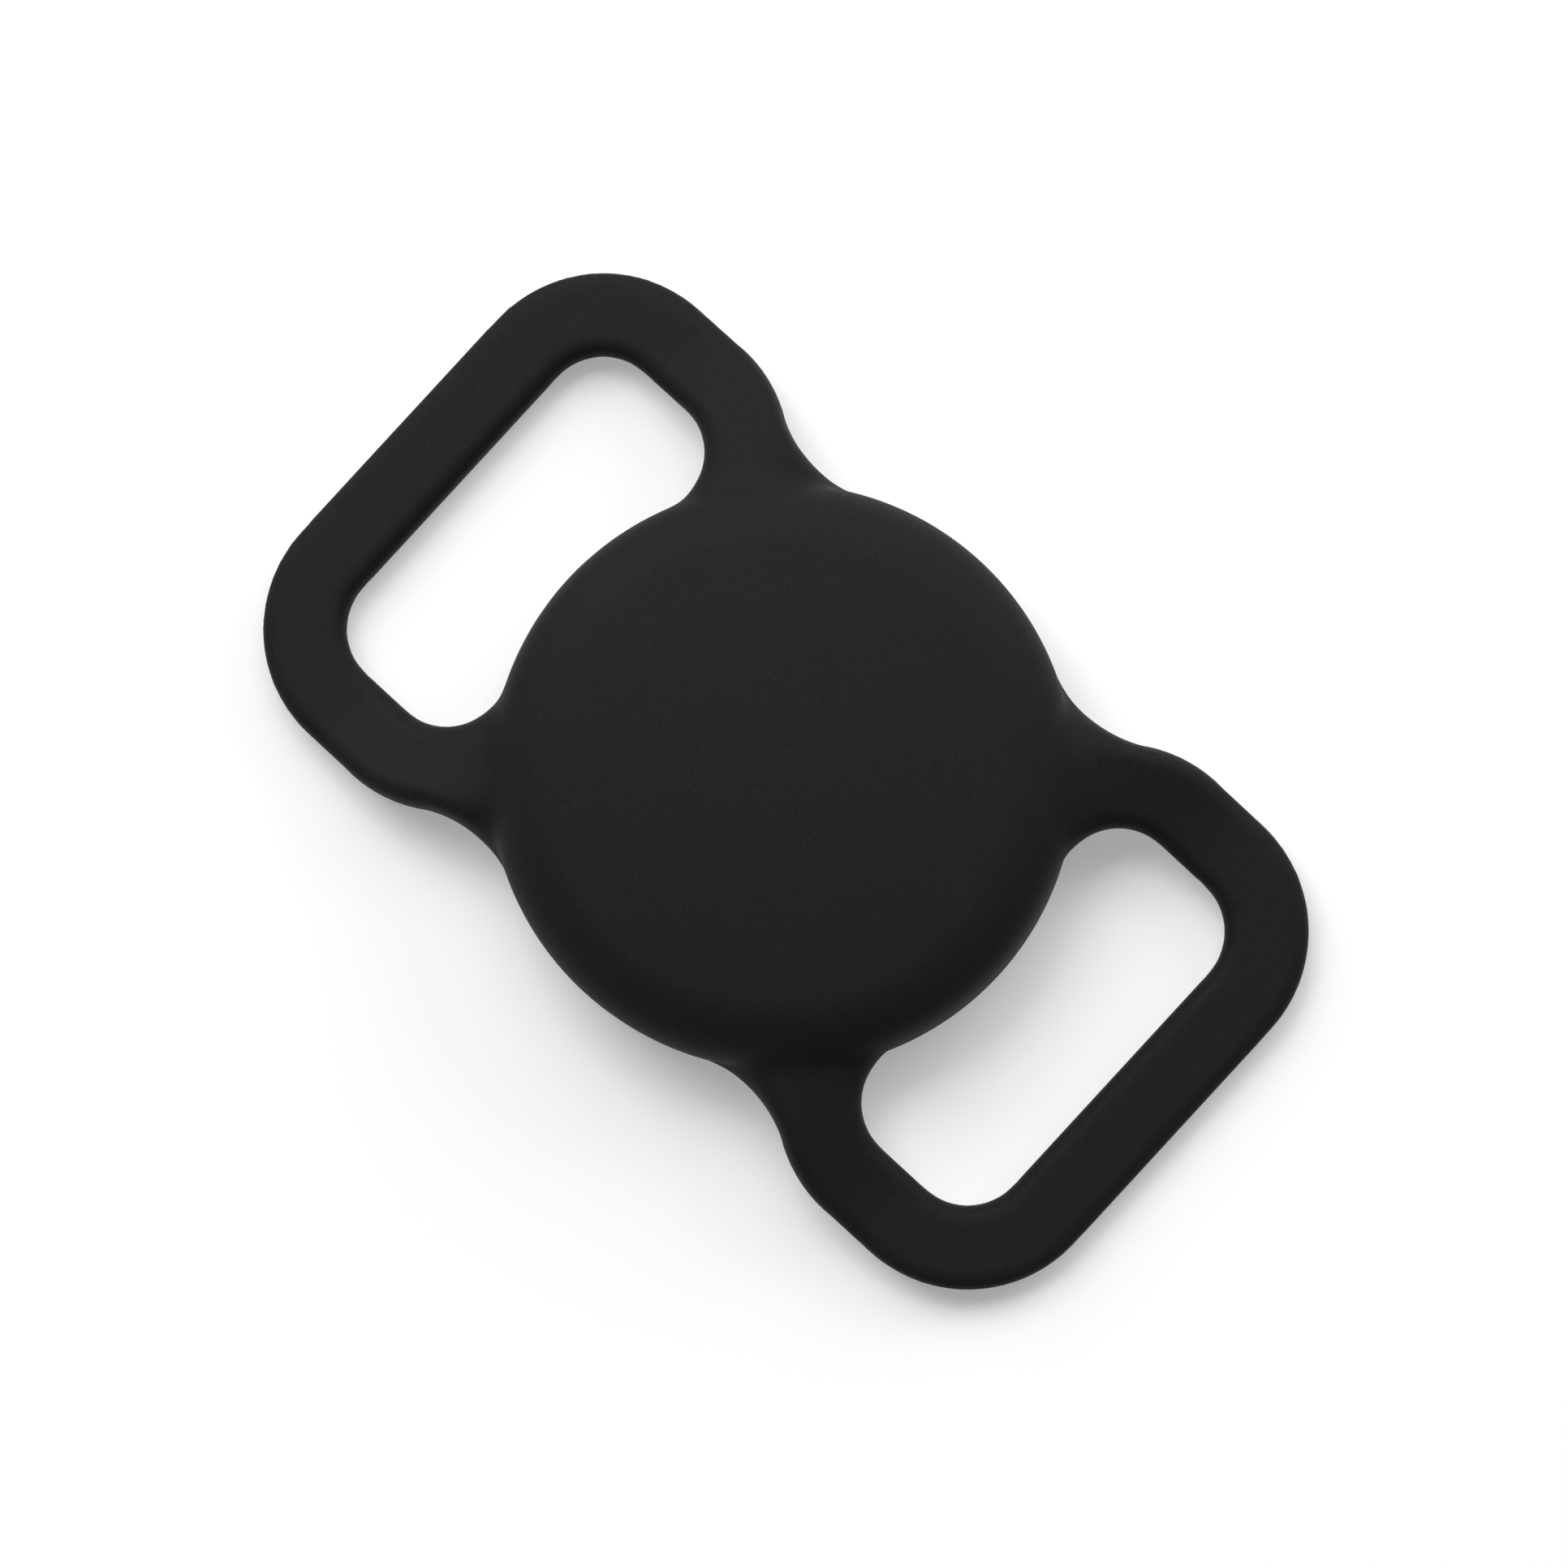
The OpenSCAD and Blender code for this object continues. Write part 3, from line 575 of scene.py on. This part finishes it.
dress(moulded("gloss white polycarbonate", ("#e9e9e5", "#f1f1ee"), (0.1, 0.2), 1.58, 2.5, 4),
      "tag_front_shell")
dress(moulded("matt white ABS", ("#dcdcd6", "#e4e4df"), (0.4, 0.58), 1.54, 0.15, 12), "tag_frame")
dress(moulded("ivory acetal", ("#e2e1da", "#eae9e3"), (0.32, 0.46), 1.48, 0.2, 8), "cover_liner")
dress(moulded("dark polypropylene", ("#2d3034", "#383c41"), (0.34, 0.5), 1.49, 0.12, 8),
      "coin_cell_gasket")
dress(moulded("grey silicone rubber", ("#73777a", "#81858a"), (0.55, 0.7), 1.41, 0.1, 12),
      "cover_pads")
dress(moulded("closed-cell seal foam", ("#b4b6b0", "#c6c8c2"), (0.7, 0.9), 1.4, 0.14, 60),
      "cover_seal")
dress(moulded("black epoxy moulding compound", ("#161718", "#1d1e20"), (0.45, 0.62), 1.55, 0.08, 12),
      "board_chips")

# %% [markdown]
# ### Sheet metal
#
# Rolled, brushed and polished sheet all carry fine lines along one direction, which draw a highlight
# out sideways. Noise stretched 20 times along one axis makes such lines. They sit mostly in the
# roughness and only a little in the surface. Each metal keeps its default IOR, and its colour does
# the rest: nickel is slightly warm, tin and zinc are cool, gold plate is a dull yellow. The cover is
# polished stainless steel, so its roughness is low and its lines are hairline scratches from wear.

# %% Finishes of sheet metal
def sheet_metal(name, tones, rough, line_mm, along, relief_um=1):
    """Fine lines along one axis, with tone and gloss that drift slowly."""
    material, tree, mm = new_material(name)
    pulled = add(tree, "ShaderNodeMapping", {"Vector": mm, "Scale": along})
    lines = add(tree, "ShaderNodeTexNoise", {"Vector": pulled.outputs[0]}, Scale=1 / line_mm, Detail=4.0)
    clouds = add(tree, "ShaderNodeTexNoise", {"Vector": mm}, Scale=0.5, Detail=3.0)
    tone = add(tree, "ShaderNodeMix", {0: clouds.outputs["Fac"]}, data_type="RGBA",
               A=colour(tones[0]), B=colour(tones[1]))
    gloss = add(tree, "ShaderNodeMapRange", {"Value": lines.outputs["Fac"]},
                From_Min=0.3, From_Max=0.7, To_Min=rough[0], To_Max=rough[1])
    bump = add(tree, "ShaderNodeBump", {"Height": lines.outputs["Fac"]},
               Strength=0.3, Distance=relief_um * 1e-6)
    skin = add(tree, "ShaderNodeBsdfPrincipled",
               {"Base Color": tone.outputs["Result"], "Roughness": gloss.outputs["Result"],
                "Normal": bump.outputs["Normal"]}, Metallic=1.0)
    finish_material(tree, skin)
    return material


ALONG_X, ALONG_Y, ALONG_Z = (0.05, 1, 1), (1, 0.05, 1), (1, 1, 0.05)
dress(sheet_metal("polished stainless steel", ("#bfc0c0", "#cacbcb"), (0.1, 0.17), 0.12, ALONG_X, 0.5),
      "cover_plate")
dress(sheet_metal("nickel-plated drawn steel", ("#b3b4b4", "#c2c3c2"), (0.2, 0.36), 0.12, ALONG_Y),
      "coin_cell_can")
dress(sheet_metal("nickel-plated rolled steel", ("#b9b9b7", "#c6c6c3"), (0.24, 0.4), 0.15, ALONG_X),
      "coin_cell_cap")
dress(sheet_metal("nickel-plated neodymium", ("#a5a29b", "#b3b0a9"), (0.16, 0.3), 0.4, (1, 1, 1)),
      "speaker_magnet")
dress(sheet_metal("zinc-plated steel", ("#8f969b", "#a9b0b4"), (0.3, 0.5), 0.3, (0.5, 1, 1)),
      "magnet_yoke")
dress(sheet_metal("tinned steel sheet", ("#aeb2b4", "#bec1c3"), (0.3, 0.44), 0.1, ALONG_Y),
      "board_shield")
dress(sheet_metal("gold-plated spring bronze", ("#c9a24e", "#d9b565"), (0.2, 0.34), 0.08, ALONG_Z),
      "positive_contacts", "negative_contact")
dress(sheet_metal("laser-structured copper", ("#b06e4c", "#c78560"), (0.34, 0.5), 0.05, (1, 1, 1), 4),
      "antenna_strip")

# %% [markdown]
# ### Circuit board, capacitors and coil
#
# Three pieces need a drawing of their own. The board is glass-fibre laminate: green solder mask on
# its faces, with paler lines where copper tracks run under it and small tinned vias, and bare
# yellow laminate round its edge. A chip capacitor is a tan ceramic block with a tinned cap at each
# end, and here both rows point at the board's middle, so the distance from the axis tells ceramic
# from tin. The voice coil is wound from enamelled wire. Real wire of 0.04 mm would not show, so its
# turns are drawn 0.1 mm apart. Across each turn the colour runs from a lighter copper crest to a
# darker groove, which is painted shade between the turns.

# %% Circuit board
material, tree, mm = new_material("glass-fibre board with green solder mask")
slanted = add(tree, "ShaderNodeMapping", {"Vector": mm, "Rotation": (0, 0, radians(45))})
tracks = add(tree, "ShaderNodeTexBrick", {"Vector": slanted.outputs[0]}, Scale=1.0, Mortar_Size=0.07,
             Mortar_Smooth=0.1, Brick_Width=2.6, Row_Height=0.7, Color1=colour("#153f2b"),
             Color2=colour("#18472f"), Mortar=colour("#2a6d46"))
cells = add(tree, "ShaderNodeTexVoronoi", {"Vector": mm}, Scale=0.55)
is_via = add(tree, "ShaderNodeMath", {0: cells.outputs["Distance"], 1: 0.09}, operation="LESS_THAN")
place = add(tree, "ShaderNodeTexCoord")
normal = add(tree, "ShaderNodeSeparateXYZ", {0: place.outputs["Normal"]})
upright = add(tree, "ShaderNodeMath", {0: normal.outputs["Z"]}, operation="ABSOLUTE")
is_edge = add(tree, "ShaderNodeMath", {0: upright.outputs[0], 1: 0.5}, operation="LESS_THAN")
face = add(tree, "ShaderNodeMix", {0: is_via.outputs[0], "A": tracks.outputs["Color"]},
           data_type="RGBA", B=colour("#b8b8ac"))
tone = add(tree, "ShaderNodeMix", {0: is_edge.outputs[0], "A": face.outputs["Result"]},
           data_type="RGBA", B=colour("#a09565"))
weave = add(tree, "ShaderNodeTexNoise", {"Vector": mm}, Scale=2.0, Detail=3.0)
rough = add(tree, "ShaderNodeMapRange", {"Value": weave.outputs["Fac"]}, To_Min=0.26, To_Max=0.44)
relief = add(tree, "ShaderNodeBump", {"Height": tracks.outputs["Fac"]}, Strength=0.4, Distance=0.00002)
skin = add(tree, "ShaderNodeBsdfPrincipled",
           {"Base Color": tone.outputs["Result"], "Metallic": is_via.outputs[0],
            "Roughness": rough.outputs["Result"], "Normal": relief.outputs["Normal"]}, IOR=1.55)
finish_material(tree, skin)
dress(material, "circuit_board")

# %% Capacitors
low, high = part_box("board_capacitors")
ROWS_R, ROW_OFF, CERAMIC_HALF = 8.8, 1.008, 0.3
material, tree, mm = new_material("ceramic capacitor with tinned ends")
flat = add(tree, "ShaderNodeVectorMath", {0: mm, 1: (1, 1, 0)}, operation="MULTIPLY")
reach = add(tree, "ShaderNodeVectorMath", {0: flat.outputs[0]}, operation="LENGTH")
off_rows = add(tree, "ShaderNodeMath", {0: reach.outputs["Value"], 1: ROWS_R}, operation="SUBTRACT")
either = add(tree, "ShaderNodeMath", {0: off_rows.outputs[0]}, operation="ABSOLUTE")
off_row = add(tree, "ShaderNodeMath", {0: either.outputs[0], 1: ROW_OFF}, operation="SUBTRACT")
off_middle = add(tree, "ShaderNodeMath", {0: off_row.outputs[0]}, operation="ABSOLUTE")
is_tin = add(tree, "ShaderNodeMath", {0: off_middle.outputs[0], 1: CERAMIC_HALF},
             operation="GREATER_THAN")
specks = add(tree, "ShaderNodeTexNoise", {"Vector": mm}, Scale=12.0, Detail=2.0)
ceramic = add(tree, "ShaderNodeMix", {0: specks.outputs["Fac"]}, data_type="RGBA",
              A=colour("#8d6a42"), B=colour("#a98459"))
tone = add(tree, "ShaderNodeMix", {0: is_tin.outputs[0], "A": ceramic.outputs["Result"]},
           data_type="RGBA", B=colour("#b7b9ba"))
rough = add(tree, "ShaderNodeMapRange", {"Value": specks.outputs["Fac"]}, To_Min=0.35, To_Max=0.55)
skin = add(tree, "ShaderNodeBsdfPrincipled",
           {"Base Color": tone.outputs["Result"], "Metallic": is_tin.outputs[0],
            "Roughness": rough.outputs["Result"]}, IOR=1.6)
finish_material(tree, skin)
dress(material, "board_capacitors")
print("capacitors stand %.2f mm high" % ((high.z - low.z) / MM))

# %% Voice coil
TURN_MM = 0.1
material, tree, mm = new_material("enamelled copper winding")
turns = add(tree, "ShaderNodeTexWave", {"Vector": mm}, bands_direction="Z", Scale=0.314 / TURN_MM,
            Distortion=0.4, Detail=1.0)
# The tone is painted shade: darker copper in the groove between turns, lighter on each turn's crest.
tone = add(tree, "ShaderNodeMix", {0: turns.outputs["Fac"]}, data_type="RGBA",
           A=colour("#6e3216"), B=colour("#b9612f"))
rough = add(tree, "ShaderNodeMapRange", {"Value": turns.outputs["Fac"]}, To_Min=0.42, To_Max=0.26)
bump = add(tree, "ShaderNodeBump", {"Height": turns.outputs["Fac"]}, Strength=0.6, Distance=0.00003)
skin = add(tree, "ShaderNodeBsdfPrincipled",
           {"Base Color": tone.outputs["Result"], "Roughness": rough.outputs["Result"],
            "Normal": bump.outputs["Normal"]}, Metallic=1.0)
finish_material(tree, skin)
dress(material, "voice_coil")
